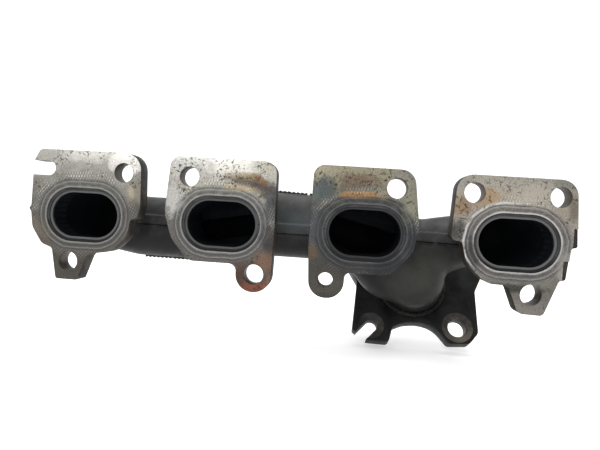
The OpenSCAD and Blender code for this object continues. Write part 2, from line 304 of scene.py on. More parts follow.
# %% Distance from the port
def from_port(made, centre_x):
    """x and z from the middle of the port, and the distance outside its edge."""
    split = made.node("ShaderNodeSeparateXYZ")
    made.feed(split.inputs[0], made.moved((centre_x, 0, 0)))
    x, z = split.outputs["X"], split.outputs["Z"]
    across = made.math("MAXIMUM", made.math("SUBTRACT", made.math("ABSOLUTE", x), port_straight), 0)
    square = made.math("ADD", made.times(across, across), made.times(z, z))
    return x, z, made.math("SUBTRACT", made.math("SQRT", square), port_hh)


print("distance helper ready")

# %% [markdown]
# The cutter turned about a far middle, so its marks are arcs, made here by two wave textures in
# rings. They cross, and they show best just outside the gasket rings and above the port.

# %% Cutter marks
cutter_pitch = 1.65 * mm
wave_turns = 20  # radians that a wave texture goes through in one unit of its own space


def cutter_marks(made, centre_x, z, away):
    """Two values: the bright crests where the arcs cross, and the dull grooves between them."""
    arcs = []
    for middle in ((centre_x - 74 * mm, 0, 52 * mm), (centre_x + 66 * mm, 0, 60 * mm)):
        wave = made.node("ShaderNodeTexWave", wave_type="RINGS", rings_direction="SPHERICAL")
        made.feed(wave.inputs["Vector"], made.moved(middle, 0, (1, 0, 1)))
        wave.inputs["Scale"].default_value = 2 * math.pi / (wave_turns * cutter_pitch)
        wave.inputs["Distortion"].default_value = 1.3
        wave.inputs["Detail"].default_value = 2.0
        arcs.append(wave.outputs["Fac"])
    cross = made.times(arcs[0], made.math("ADD", made.times(arcs[1], 0.75), 0.25))
    near = made.ramp(made.span(away, 0, 14 * mm), (0.30, 0.1), (0.46, 1.0), (0.62, 0.8), (0.84, 0.06))
    above = made.ramp(made.span(z, -12 * mm, 30 * mm), (0.15, 0.22), (0.80, 1.0))
    clouds = made.noise(10 * mm, 4, place=made.moved((centre_x, 0, 31 * mm)))
    where = made.times(near, made.times(made.ramp(clouds, (0.43, 0.0), (0.60, 1.0)), above))
    return made.times(cross, where), made.times(made.math("SUBTRACT", 1.0, cross), where)


print("cutter pitch", round(cutter_pitch / mm, 2), "mm")

# %% [markdown]
# The gasket's print is a ramp of tones along the distance from the port, with thin bright lines
# where the metal was pressed, and a painted highlight on the lit upper left of the raised ring. Rust pits and
# dark specks are the peaks of a fine noise, and a broader noise gathers them near the top corners.

# %% Gasket rings and rust pits
def gasket_rings(made, band, ring, ridge):
    dark = paint(*(c * 0.66 for c in ring))
    plain = paint(*ring)
    light = paint(*(c * 1.25 + 14 for c in ring))
    lip = paint(*(c * 1.25 + 14 + 50 * ridge for c in ring))
    return made.ramp(band, (0.0, lip), (0.06, lip), (0.11, plain), (0.20, dark), (0.33, plain),
                     (0.38, light), (0.44, dark), (0.60, plain))


def ridge_highlight(made, x, z, band):
    """A painted highlight: the broken bright line on the upper left of the raised ring, the side that faces
    the light.
    """
    line = made.ramp(band, (0.50, 0.0), (0.56, 1.0), (0.62, 1.0), (0.70, 0.0))
    upper_left = made.span(made.math("SUBTRACT", z, x), -6 * mm, 30 * mm)
    broken = made.times(made.ramp(made.noise(9 * mm, 3), (0.40, 0.1), (0.54, 1.0)), upper_left)
    return made.times(line, broken)


def rust_pits(made, z, band, pitting):
    speck = made.ramp(made.noise(1.9 * mm, 5, 0.65, warp=0.4), (0.53, 0.0), (0.58, 1.0))
    corner = made.times(made.span(z, 8 * mm, 40 * mm), 0.12)
    zone = made.math("ADD", made.noise(12 * mm, 4, 0.6), corner)
    where = made.ramp(zone, (0.66 - 0.2 * pitting, 0.0), (0.74 - 0.2 * pitting, 1.0))
    return made.times(speck, made.times(where, made.ramp(band, (0.45, 0.0), (0.6, 1.0))))


print("ring and pit helpers ready")

# %% [markdown]
# Now the whole face is put together: base metal that darkens towards the low edge, ragged stains
# and painted highlights, each with its own place, size and colour, then the cutter marks, the rings and the
# pits. The
# first face is the plainest one: silver above and brown-grey below.

# %% Milled flange finish
def milled_face(number, centre_x, tones, ring, stains_and_highlights, pitting=0.5, hatch=1.0, ridge=0.0):
    """tones run from the low edge to the top; a stain or painted highlight is (x, z, width, height, turn,
    colour, share).
    """
    made = Finish(f"milled_face_{number}")
    x, z, away = from_port(made, centre_x)
    band = made.span(made.math("ADD", away, made.swing(made.noise(8 * mm, 4), 1.6 * mm)), 0, 10 * mm)
    cloud = made.swing(made.noise(6 * mm, 6, 0.65, warp=0.5), 0.45)
    height = made.math("ADD", made.span(z, -32 * mm, 70 * mm), cloud, clamp=True)
    colour = made.ramp(height, *zip((0.05, 0.48, 0.80, 0.97), (paint(*tone) for tone in tones)))
    patches = []
    for sx, sz, width, tall, turn, tone, share in stains_and_highlights:
        patch = made.spot((centre_x + sx * mm, 0, sz * mm), width * mm, tall * mm, math.radians(turn),
                          0.6, 0.75, 5 * mm)
        patches.append((patch, share, paint(*tone)))
        colour = made.mix(made.times(patch, share), colour, paint(*tone))
    crest, groove = cutter_marks(made, centre_x, z, away)
    colour = made.mix(made.times(crest, 0.7 * hatch), colour, grey(236, 0.02))
    colour = made.mix(made.times(groove, 0.30 * hatch), colour, grey(60, 0.02))
    rings = gasket_rings(made, band, ring, ridge)
    worn = made.ramp(made.noise(4 * mm, 5, 0.65), (0.30, 0.55), (0.62, 1.0))
    reach = made.ramp(band, (0.0, 0.95), (0.48, 0.85), (0.70, 0.0))
    colour = made.mix(made.times(reach, worn), colour, rings)
    for patch, share, tone in patches:
        # the stains and painted highlights lie over the rings too, only thinner
        colour = made.mix(made.times(patch, 0.6 * share), colour, tone)
    if ridge:
        # painted highlight on the lit upper left of the raised ring
        colour = made.mix(made.times(ridge_highlight(made, x, z, band), ridge), colour, grey(205, 0.01))
    pit = rust_pits(made, z, band, pitting)
    colour = made.mix(made.times(pit, 0.85), colour, paint(56, 50, 42))
    fine = made.noise(0.9 * mm, 5, 0.7)
    colour = made.mix(0.5, colour, made.ramp(fine, (0.33, 0.18), (0.67, 0.82)), "OVERLAY")
    rough = made.ramp(made.noise(4 * mm, 4), (0.3, 0.36), (0.7, 0.58))
    normal = made.bump(crest, 0.35 * hatch, 0.2 * mm)
    normal = made.bump(rings, 0.35, 0.35 * mm, normal)
    normal = made.bump(made.math("SUBTRACT", fine, made.times(pit, 1.5)), 0.3, 0.12 * mm, normal)
    return made.finish(colour, rough, normal, 0.55, 0.3)


face_1 = milled_face(
    1, port_x[0], ((76, 72, 66), (94, 91, 85), (142, 140, 132), (176, 174, 166)), (102, 101, 98),
    # the first stain here, near white at the top right, is a painted highlight
    [(28, 36, 16, 9, 0, (238, 235, 228), 0.9), (0, 38, 22, 5, 0, (212, 210, 202), 0.7),
     (33, 16, 7, 10, 0, (140, 132, 118), 0.8), (34, 4, 7, 9, 0, (84, 82, 78), 0.9),
     (31, 17, 3, 5, 10, (196, 186, 164), 0.5), (-33, 33, 6, 8, 0, (176, 172, 164), 0.6),
     (-28, -12, 9, 11, 30, (112, 102, 88), 0.5)], 0.45, 1.0)
print("made", face_1.name)

# %% [markdown]
# The other three faces use the same recipe, each with its own history of heat: pale silver with
# straw and blue tints, brown and orange streaks, and warm beige with rust.

# %% Faces 2, 3 and 4
face_2 = milled_face(
    2, port_x[1], ((88, 80, 74), (98, 96, 92), (166, 162, 150), (206, 204, 198)), (110, 110, 109),
    # the first stain here, near white along the top, is a painted highlight
    [(6, 36, 20, 6, 0, (240, 237, 228), 0.95), (26, 37, 11, 5, 0, (192, 187, 172), 0.9),
     (14, 30, 15, 4, -6, (148, 134, 100), 0.8), (17, 26, 17, 3.5, -12, (104, 90, 86), 0.85),
     (26, 24, 12, 6, -20, (88, 80, 76), 0.9), (24, 29, 7, 3, -30, (150, 108, 78), 0.6),
     (32, 12, 7, 14, 0, (76, 78, 80), 0.95), (-31, 14, 8, 12, 0, (190, 189, 184), 0.9),
     (31, -8, 7, 12, 0, (62, 60, 58), 0.95), (29, -22, 8, 8, 0, (120, 94, 78), 0.85),
     (18, -29, 11, 8, 0, (78, 62, 54), 0.95), (22, -40, 15, 8, 0, (122, 74, 58), 0.95),
     (33, -37, 4, 9, 0, (130, 96, 80), 0.8), (12, -36, 6, 10, 0, (76, 58, 46), 0.95),
     (12, 23, 15, 3, -4, (196, 180, 140), 0.5)], 0.75, 1.0)
face_3 = milled_face(
    3, port_x[2], ((70, 68, 62), (72, 73, 72), (112, 108, 96), (152, 146, 124)), (62, 64, 67),
    [(24, 36, 12, 8, 0, (140, 136, 126), 0.8), (28, 20, 8, 14, 0, (140, 138, 122), 0.85),
     (-27, 25, 12, 9, 0, (84, 92, 92), 0.95), (-10, 27, 12, 4, 0, (108, 98, 84), 0.7),
     (-3, 23.4, 17, 2.8, 3, (174, 132, 84), 0.8),
     (-6, 32, 16, 5, 0, (118, 98, 82), 0.7), (12, 25, 9, 4, 0, (150, 142, 124), 0.7),
     (-31, 6, 7, 16, 0, (70, 73, 74), 0.95), (-31, -14, 5, 6, 0, (96, 80, 62), 0.7),
     (-8, -23, 20, 6, 0, (62, 60, 58), 0.9), (16, -20, 17, 9, 20, (40, 41, 43), 0.95),
     (30, -6, 7, 12, 0, (46, 47, 51), 0.95), (-22, -34, 12, 9, 0, (80, 76, 70), 0.8),
     (-22, -42, 12, 4, 0, (64, 64, 58), 0.8)], 0.7, 0.8)
face_4 = milled_face(
    4, port_x[3], ((112, 107, 101), (138, 134, 127), (166, 157, 142), (166, 161, 150)), (112, 110, 109),
    [(-20, 26, 12, 7, 10, (166, 140, 108), 0.8), (-34, 20, 7, 7, 0, (150, 124, 98), 0.85),
     (8, 28, 14, 7, 0, (178, 170, 157), 0.8), (-34, 34, 7, 7, 0, (154, 150, 142), 0.8),
     (28, 36, 11, 7, 0, (134, 131, 122), 0.8), (-35, 5, 8, 8, 0, (72, 72, 70), 0.95),
     (-27, -10, 10, 16, -30, (48, 49, 51), 1.0), (0, -27, 22, 3.4, 0, (62, 60, 54), 0.95),
     (28, -10, 8, 12, 0, (156, 153, 147), 0.85), (31, 22, 5, 9, 0, (120, 112, 100), 0.8),
     (10, -38, 14, 6, 0, (130, 124, 118), 0.8), (34, 4, 3, 8, 0, (96, 90, 84), 0.6)], 0.65, 0.7, 0.9)
print("made", face_2.name, face_3.name, face_4.name)

# %% [markdown]
# **Scaled steel.** The flange edges, the hole walls, the shell and the outlet flange were never
# cleaned. Heat has turned them to a dark, slightly rough scale with dust and a little rust. One
# recipe with different tones and grain serves them all.

# %% Scale finishes
def scaled_steel(name, tones, rust, rust_share, grain, depth, roughness, patches=(), metallic=0.2,
                 underside_shade=None):
    """A patch is (place, width, height, tone, share), and underside_shade (tone, start height, full height)
    is painted shade that darkens the colour towards the bottom.
    """
    made = Finish(name)
    broad = made.noise(11 * mm, 5, 0.6, warp=0.3)
    colour = made.ramp(broad, (0.34, tones[0]), (0.50, tones[1]), (0.66, tones[2]))
    # painted shade: below the start height the colour darkens towards the bottom, for the shade that falls
    # under the piece
    if underside_shade:
        painted_shade_tone, starts, full = underside_shade
        split = made.node("ShaderNodeSeparateXYZ")
        made.feed(split.inputs[0], made.place)
        drop = made.math("ADD", split.outputs["Z"], made.swing(broad, 10 * mm))
        below = made.math("DIVIDE", made.math("SUBTRACT", starts, drop), starts - full, clamp=True)
        colour = made.mix(below, colour, painted_shade_tone)
    for middle, width, height, tone, share in patches:
        patch = made.spot([c * mm for c in middle], width * mm, height * mm, 0.0, 0.9, 0.2, 9 * mm)
        colour = made.mix(made.times(patch, share), colour, tone)
    rusty = made.ramp(made.noise(6 * mm, 5, 0.65), (0.62 - 0.12 * rust_share, 0.0),
                      (0.76 - 0.08 * rust_share, 1.0))
    colour = made.mix(made.times(rusty, rust_share), colour, rust)
    fine = made.noise(grain, 5, 0.65)
    colour = made.mix(0.30, colour, made.ramp(fine, (0.34, 0.26), (0.68, 0.72)), "OVERLAY")
    rough = made.ramp(made.noise(5 * mm, 3), (0.3, roughness - 0.06), (0.7, roughness + 0.08))
    normal = made.bump(fine, depth, 0.25 * mm)
    return made.finish(colour, rough, normal, metallic, 0.16)


edge_steel = scaled_steel("flange_edge_scale", (grey(30, 0.05), grey(44, 0.07), grey(66, 0.08)),
                          paint(82, 66, 48), 0.5, 1.4 * mm, 0.5, 0.6)
hole_steel = scaled_steel("hole_wall", (grey(52, 0.06), grey(84, 0.08), grey(118, 0.07)),
                          paint(98, 80, 58), 0.5, 1.2 * mm, 0.35, 0.5, metallic=0.4)
shell_steel = scaled_steel(
    "pressed_shell_scale", (grey(54, 0.0), grey(64, 0.0), grey(76, 0.0)), paint(70, 60, 48), 0.2,
    0.8 * mm, 0.22, 0.5,
    [((0, 30, 4), 34, 12, paint(90, 96, 96), 0.9), ((84, 32, -26), 30, 22, paint(70, 70, 65), 0.85),
     ((74, 30, -34), 16, 14, paint(56, 60, 55), 0.6)],
    # the shell's underside is painted darker, as painted shade
    underside_shade=(grey(33, 0.01), -2 * mm, -13 * mm))
outlet_steel = scaled_steel("outlet_flange_scale", (grey(22, -0.04), grey(31, -0.02), grey(42, 0.0)),
                            paint(58, 52, 44), 0.3, 1.0 * mm, 0.3, 0.5)
lower_rim = (outlet @ Vector((34 * mm, 41 * mm, 0))) / mm
spot_steel = scaled_steel("spotface_steel", (grey(50, 0.0), grey(72, 0.03), grey(96, 0.05)),
                          paint(122, 112, 96), 0.6, 1.0 * mm, 0.35, 0.42,
                          [(lower_rim, 20, 9, paint(128, 121, 108), 0.95)], metallic=0.5)
bead_steel = scaled_steel("weld_bead_scale", (grey(28, 0.02), grey(40, 0.03), grey(58, 0.03)),
                          paint(78, 62, 46), 0.35, 0.9 * mm, 0.4, 0.45, metallic=0.4)
print("scale finishes made")

# %% [markdown]
# ** Soot and wire.** Inside the ports the gas pipes carry a blue-black film of soot, which thins
# out to a lighter grey rim at the port; that grey is partly painted light along the port's edge. The walls of
# the ports are mottled, each with a tone of its own, and their tones are raised as painted light, to brighten
# walls that lie in shade.
# The rings between the pipes and the shell are knitted from thin wire, so their finish is a
# fine grid of crossed waves.

# %% Soot and wire finishes
def sooty_pipe(name, rim):
    """rim is the grey of the end of the pipe at the port, partly painted light along the port's edge."""
    made = Finish(name)
    split = made.node("ShaderNodeSeparateXYZ")
    made.feed(split.inputs[0], made.place)
    film = made.ramp(made.noise(14 * mm, 4, 0.6), (0.3, paint(13, 15, 19)), (0.55, paint(17, 19, 24)),
                     (0.75, paint(24, 26, 31)))
    depth = made.span(split.outputs["Y"], 0, 7 * mm)
    flaked = made.math("ADD", depth, made.times(made.noise(3 * mm, 4), 0.3))
    burnt = made.ramp(flaked, (0.40, 0.0), (0.66, 1.0))
    colour = made.mix(burnt, grey(rim, 0.0), film)
    rough = made.ramp(made.noise(6 * mm, 3), (0.3, 0.6), (0.7, 0.75))
    return made.finish(colour, rough, made.bump(made.noise(1.5 * mm, 4), 0.2, 0.2 * mm), 0.0, 0.08)


wire_pitch = 1.2 * mm


def knitted_wire():
    made = Finish("knitted_wire")
    crossed = []
    for turn in (0.7, -0.7):
        wave = made.node("ShaderNodeTexWave", bands_direction="X")
        made.feed(wave.inputs["Vector"], made.moved((0, 0, 0), turn))
        wave.inputs["Scale"].default_value = 2 * math.pi / (wave_turns * wire_pitch)
        wave.inputs["Distortion"].default_value = 2.0
        crossed.append(wave.outputs["Fac"])
    knit = made.math("MAXIMUM", crossed[0], crossed[1])
    colour = made.ramp(knit, (0.2, grey(30)), (0.8, grey(150, 0.02)))
    return made.finish(colour, 0.4, made.bump(knit, 0.9, 0.4 * mm), 0.8)


# the rim greys are partly painted light along the port's edge
rims = {"liner_1": 100, "liner_2": 88, "collector_liner": 60, "liner_4": 104}
soot = {node: sooty_pipe(f"soot_{node}", rim) for node, rim in rims.items()}
soot_deep = sooty_pipe("soot_slip_tube", 30)
bore_walls = []
# the wall tones are raised as painted light, for walls that lie in shade
for number, tone in enumerate((130, 118, 76, 140), 1):
    shades = (grey(tone * 0.5), grey(tone * 0.8), grey(tone))
    bore_walls.append(scaled_steel(f"bore_wall_{number}", shades, paint(60, 54, 46), 0.3, 1.2 * mm,
                                   0.3, 0.55))
wire = knitted_wire()
print("made", len(soot) + 1, "soot finishes,", len(bore_walls), "bore walls and", wire.name)

# %% [markdown]
# ## The pressed shell
# The real shell is two pressings that meet in a lap seam. Its shape is a row of pipes that run into
# each other, so we first block it out: a ball at each bend of each pipe, and each pair of balls
# wrapped in one smooth skin with the convex hull tool.

# %% Balls and wrapped pipes
def ball(place, radius):
    bpy.ops.object.select_all(action="DESELECT")
    bpy.ops.mesh.primitive_uv_sphere_add(segments=40, ring_count=20, radius=radius * mm,
                                         location=[c * mm for c in place])
    return done()


def draw_apart(piece, x):
    """Makes a round piece oval like a port, by moving its two halves apart."""
    for side in (1, -1):
        pick_points(piece, lambda p: side * (p.x - x) > 0.01 * mm)
        bpy.ops.transform.translate(value=(side * port_straight, 0, 0))
        bpy.ops.object.mode_set(mode="OBJECT")


def neck_slab(x, start, end):
    """A slice of the oval neck of a port: a drum whose two halves are drawn apart."""
    bpy.ops.object.select_all(action="DESELECT")
    bpy.ops.mesh.primitive_cylinder_add(vertices=56, radius=port_hh, depth=(end - start) * mm,
                                        location=(x, (start + end) / 2 * mm, 0), rotation=(math.pi / 2, 0, 0))
    drum = done()
    draw_apart(drum, x)
    return drum


def wrapped(*pieces):
    """Joins the pieces and wraps them in one convex skin."""
    only(*pieces)
    bpy.ops.object.join()
    whole = bpy.context.object
    bpy.ops.object.mode_set(mode="EDIT")
    bpy.ops.mesh.select_all(action="SELECT")
    bpy.ops.mesh.convex_hull()
    bpy.ops.object.mode_set(mode="OBJECT")
    return whole


def pipe(bends):
    """One wrapped length between each two bends, each bend as (x, y, z, radius) in millimetres."""
    return [wrapped(ball(a[:3], a[3]), ball(b[:3], b[3])) for a, b in zip(bends, bends[1:])]


log_bends = [(-132, 38, -3, 20.5), (-114, 47.5, -6.5, 21.6), (-74, 48, -6.6, 21.6), (-45, 48, -2.5, 22.3),
             (-18, 48, 0.8, 23.2), (18, 48, 0.2, 22.5), (45, 48, 0, 23), (72, 48, -7, 21.5)]
funnel_bends = [log_bends[6], (53, 46, -12, 22), (66, 46, -22, 25), (83.5, 47, -31, 20.5)]
runner_bends = [(133, 36, -0.5, 18.8), (117, 45, -0.8, 17.2), (98, 46, -7, 20), (84, 48, -12, 22),
                funnel_bends[3]]
horn_bends = [funnel_bends[2], (79, 50, -28, 22.5)]
lengths = pipe(log_bends) + pipe(funnel_bends) + pipe(runner_bends) + pipe(horn_bends)
print(len(lengths), "lengths of pipe wrapped")

# %% [markdown]
# The four oval necks run from the bend behind each port into its flange, and the horn runs from the
# last bends into the outlet flange. They are made longer than needed and cut square later, so that
# smoothing can't round their ends.

# %% Necks and horn
def horn_slab(start, end):
    bpy.ops.object.select_all(action="DESELECT")
    middle = outlet @ Vector((0, 0, (start + end) / 2 * mm))
    bpy.ops.mesh.primitive_cylinder_add(vertices=64, radius=horn_r, depth=(end - start) * mm,
                                        location=middle, rotation=outlet.to_euler())
    return done()


port_bends = [log_bends[0], log_bends[3], log_bends[6], runner_bends[0]]
for x, bend, reach in zip(port_x, port_bends, (20, 36, 36, 20)):
    lengths.append(neck_slab(x, -8, reach))
    lengths.append(wrapped(neck_slab(x, reach - 5, reach), ball(bend[:3], bend[3])))
for bend in (log_bends[7], horn_bends[1]):
    lengths.append(wrapped(ball(bend[:3], bend[3]), horn_slab(-8, -7)))
lengths.append(horn_slab(-8, 18))
print("now", len(lengths), "lengths")

# %% [markdown]
# All the lengths are joined and turned into one skin with the voxel remesh, and a smooth modifier
# then rounds the creases where the pipes meet, as the press tool does. Cutting planes open the
# four ports and the outlet.

# %% One smooth skin
def cut(piece, place, normal):
    """Cuts with a plane and throws away the side its normal points to."""
    only(piece)
    bpy.ops.object.mode_set(mode="EDIT")
    bpy.ops.mesh.select_all(action="SELECT")
    bpy.ops.mesh.bisect(plane_co=place, plane_no=normal, clear_outer=True)
    bpy.ops.object.mode_set(mode="OBJECT")
    return piece


only(*lengths)
bpy.ops.object.join()
skin = named(bpy.context.object, "shell_skin")
add_modifier(skin, "REMESH", mode="VOXEL", voxel_size=1.15 * mm, use_smooth_shade=True)
add_modifier(skin, "SMOOTH", factor=0.5, iterations=26)
cut(skin, (0, 0.8 * mm, 0), (0, -1, 0))
cut(skin, outlet @ Vector((0, 0, outlet_t - 2 * mm)), outlet_way)
print("skin has", len(skin.data.polygons), "faces")

# %% [markdown]
# The lower pressing is the skin below the seam, given its wall with a Solidify modifier. The upper
# pressing reaches down over it: below the seam its points are pushed out by one wall thickness,
# which makes the joggle and the lap that can be seen along the pipe.

# %% Two pressings with a lap seam
def ramp_between(value, low, high):
    share = min(max((value - low) / (high - low), 0), 1)
    return share * share * (3 - 2 * share)


lower = copy_of(skin, "lower_pressing")
cut(lower, (0, 0, lap_top), (0, 0, 1))
upper = copy_of(skin, "upper_pressing")
cut(upper, (0, 0, lap_bottom), (0, 0, -1))
for place, normal in (((0, 0, lap_edge), (0, 0, 1)), ((0, 0, joggle_top), (0, 0, 1)),
                      ((0, behind_weld, 0), (0, 1, 0))):
    only(upper)
    bpy.ops.object.mode_set(mode="EDIT")
    bpy.ops.mesh.select_all(action="SELECT")
    bpy.ops.mesh.bisect(plane_co=place, plane_no=normal)
    bpy.ops.object.mode_set(mode="OBJECT")
pick_faces(upper, lambda c, n: c.z < lap_edge and c.y < behind_weld)
bpy.ops.mesh.delete(type="FACE")
bpy.ops.object.mode_set(mode="OBJECT")
lap = upper.vertex_groups.new(name="lap")
for point in upper.data.vertices:
    low = 1 - ramp_between(point.co.z, lap_edge, joggle_top)
    push = low * ramp_between(point.co.y, behind_weld, lap_full)
    lap.add([point.index], push, "REPLACE")
add_modifier(upper, "DISPLACE", strength=lap_push, mid_level=0.0, vertex_group="lap")
seam_line = copy_of(lower, "seam_line")
top_skin = copy_of(upper, "top_skin")
low_skin = copy_of(lower, "low_skin")
for pressing in (lower, upper):
    add_modifier(pressing, "SOLIDIFY", thickness=shell_t, offset=-1.0, use_rim=True)
    only(pressing)
    bpy.ops.object.shade_smooth_by_angle(angle=math.radians(50))
    pressing.data.materials.clear()
    pressing.data.materials.append(shell_steel)
bpy.data.objects.remove(skin)
print("upper", len(upper.data.polygons), "faces, lower", len(lower.data.polygons), "faces")

# %% [markdown]
# ## Weld beads
# A weld laid by hand is a row of small overlapping ripples. Each bead here is a line of points
# made into a curve, whose thickness rises and falls every two or three millimetres. For the seam,
# the line is cut out of the lower pressing itself, so the bead lies exactly on it.

# %% Bead helper
def bead(line, name, radius, pitch, depth):
    """Turns a piece made only of edges into a rippled bead."""
    only(line)
    bpy.ops.object.convert(target="CURVE")
    curve = bpy.context.object
    curve.data.bevel_depth = radius
    curve.data.bevel_resolution = 2
    curve.data.use_fill_caps = True
    for spline in curve.data.splines:
        travelled = 0.0
        before = None
        for point in spline.points:
            here = Vector(point.co[:3])
            travelled += (here - before).length if before else 0.0
            before = here
            part = (travelled % pitch) / pitch
            point.radius = 1 - depth * part * part
    bpy.ops.object.convert(target="MESH")
    made = named(bpy.context.object, name)
    bpy.ops.object.shade_smooth_by_angle(angle=math.radians(40))
    made.data.materials.clear()
    made.data.materials.append(bead_steel)
    return made


def only_points(line, test):
    """Deletes every point that fails the test."""
    pick_points(line, lambda p: not test(p))
    bpy.ops.mesh.delete(type="VERT")
    bpy.ops.object.mode_set(mode="OBJECT")


def finer(line, cuts, test=lambda p: True):
    """Adds points along the line, between the points that pass the test."""
    pick_points(line, test)
    bpy.ops.mesh.subdivide(number_cuts=cuts)
    bpy.ops.object.mode_set(mode="OBJECT")


bead_z = -4.7 * mm
cut(seam_line, (0, 0, bead_z), (0, 0, 1))
only_points(seam_line, lambda p: abs(p.z - bead_z) < 0.002 * mm and p.y > 16.5 * mm)
finer(seam_line, 2)
rear_line = copy_of(seam_line, "rear_line")
only_points(seam_line, lambda p: p.y <= seam_middle)
only_points(rear_line, lambda p: p.y >= seam_middle - 0.4 * mm)
seam_front = bead(seam_line, "seam_bead_front", 1.15 * mm, 2.1 * mm, 0.28)
seam_rear = bead(rear_line, "seam_bead_rear", 1.15 * mm, 2.1 * mm, 0.28)
print("seam beads", len(seam_front.data.polygons), len(seam_rear.data.polygons))

# %% [markdown]
# Two rough ridges of weld also stand on the shell: one along its top between the middle flanges,
# and one under it between the first two. Each follows the pressing where a plane cuts it.

# %% Rough ridges
def ridge_on(pressing, name, depth, first, last, above):
    line = copy_of(pressing, name)
    cut(line, (0, depth, 0), (0, 1, 0))
    side = 1 if above else -1
    only_points(line, lambda p: abs(p.y - depth) < 0.002 * mm and first < p.x < last and p.z * side > 12 * mm)
    finer(line, 2)
    return bead(line, name, 1.5 * mm, 3.1 * mm, 0.6)


ridge_depth = 46 * mm
ridges = [ridge_on(top_skin, "ridge_bead_top", ridge_depth, -25 * mm, 20 * mm, True),
          ridge_on(low_skin, "ridge_bead_bottom", ridge_depth, -112 * mm, -62 * mm, False)]
for spare in (top_skin, low_skin):
    bpy.data.objects.remove(spare)
print("ridges", [len(r.data.polygons) for r in ridges])

# %% [markdown]
# Each neck is welded to the back of its flange all round, and the horn to the front of the outlet
# flange. These lines start as a circle; for the oval necks the two halves are drawn apart.

# %% Neck beads and outlet bead
def ring_line(radius, points):
    bpy.ops.object.select_all(action="DESELECT")
    bpy.ops.mesh.primitive_circle_add(vertices=points, radius=radius, fill_type="NOTHING")
    return bpy.context.object


neck_beads = []
for number, x in enumerate(port_x):
    line = ring_line(port_hh + 0.9 * mm, 260)
    line.rotation_euler = (math.pi / 2, 0, 0)
    line.location = (x, flange_t + 0.9 * mm, 0)
    only(line)
    bpy.ops.object.transform_apply(location=True, rotation=True, scale=True)
    draw_apart(line, x)
    finer(line, 8, lambda p: abs(p.x - x) < port_straight + 0.4 * mm)
    neck_beads.append(bead(line, f"neck_bead_{number + 1}", 1.9 * mm, 2.3 * mm, 0.3))
line = ring_line(horn_r + 1.0 * mm, 340)
line.matrix_world = outlet @ Matrix.Translation((0, 0, -0.8 * mm))
only(line)
bpy.ops.object.transform_apply(location=True, rotation=True, scale=True)
outlet_bead = bead(line, "outlet_bead", 1.9 * mm, 2.3 * mm, 0.3)
print(len(neck_beads), "neck beads and the outlet bead")

# %% [markdown]
# ## Flanges
# The flanges are plates with exact outlines and holes, and the frame already has them. What a real
# plate adds is a small broken edge all round that catches the light. So we work on a merged copy
# of the frame's own mesh: its flat faces are cleaned up and a narrow bevel runs along every sharp
# edge.

# %% Plates with broken edges
def clean_copy(node, name):
    """A merged copy of a frame part, with its flat faces made whole."""
    only(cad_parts[node])
    bpy.ops.object.duplicate()
    piece = named(bpy.context.object, name)
    piece.parent = None
    for key in [k for k in piece.keys() if k.startswith("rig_")]:
        del piece[key]
    bpy.ops.object.mode_set(mode="EDIT")
    bpy.ops.mesh.select_all(action="SELECT")
    bpy.ops.mesh.remove_doubles(threshold=0.002 * mm)
    bpy.ops.mesh.dissolve_limited(angle_limit=math.radians(1))
    bpy.ops.object.mode_set(mode="OBJECT")
    return piece


def broken_edges(piece, width):
    add_modifier(piece, "BEVEL", width=width, segments=2, limit_method="ANGLE",
                 angle_limit=math.radians(40), use_clamp_overlap=True)
    only(piece)
    bpy.ops.object.shade_smooth_by_angle(angle=math.radians(35))


def dress(piece, *rules):
    """Gives faces their finishes: each rule is (material, test of middle and normal), later ones win."""
    piece.data.materials.clear()
    for number, (material, test) in enumerate(rules):
        piece.data.materials.append(material)
        piece.active_material_index = number
        pick_faces(piece, test)
        piece.active_material_index = number
        bpy.ops.object.material_slot_assign()
        bpy.ops.object.mode_set(mode="OBJECT")


print("plate helpers ready")

# %% [markdown]
# Each head flange takes four finishes: edge steel all over, then a mottled wall inside its port,
# another inside its stud holes, and the milled face in front. The faces are picked by where they
# lie and which way they point.

# %% Head flanges
stud_holes = {
    1: [(-109.5, 28.5, 6.25), (-144, -30.3, 6.25)],
    2: [(-66.5, 28.5, 6.25), (-22.3, -30.3, 6.25)],
    3: [(63, 28.5, 6.25), (22.7, -30.3, 4.65)],
    4: [(108.7, 28.5, 6.25), (158.3, 28.5, 6.25), (145, -30.3, 6.25)],
}


near_wall = 0.5 * mm


def in_hole(number, c):
    return any(math.hypot(c.x - x * mm, c.z - z * mm) < r * mm + near_wall for x, z, r in stud_holes[number])


def in_port(number, c):
    across = max(abs(c.x - port_x[number - 1]) - port_straight, 0)
    return math.hypot(across, c.z) < port_hh + near_wall


flanges = []
for number, face in enumerate((face_1, face_2, face_3, face_4), 1):
    plate = clean_copy(f"head_flange_{number}", f"flange_plate_{number}")
    broken_edges(plate, 0.45 * mm)
    dress(plate, (edge_steel, lambda c, n: True),
          (bore_walls[number - 1], lambda c, n: in_port(number, c) and abs(n.y) < 0.5),
          (hole_steel, lambda c, n: in_hole(number, c) and abs(n.y) < 0.5),
          (face, lambda c, n: c.y < 0.6 * mm and n.y < -0.25))
    flanges.append(plate)
    print(plate.name, len(plate.data.polygons), "faces")

# %% [markdown]
# The outlet flange is treated the same way. Round its fixings the metal was spotfaced, and these
# shallow round seats are lighter than the rest. They are picked by their place in the outlet's own
# axes.

# %% Outlet flange
def in_outlet(c):
    return outlet.inverted() @ c


def on_spotface(c, n):
    p = in_outlet(c) / mm
    seats = ((31, 32, 11.4), (-31, 32, 10))
    on_seat = any((p.x - x) ** 2 + (p.y - y) ** 2 < r * r for x, y, r in seats)
    return on_seat and -0.2 < p.z < 1.9 and n.dot(outlet_way) < -0.3


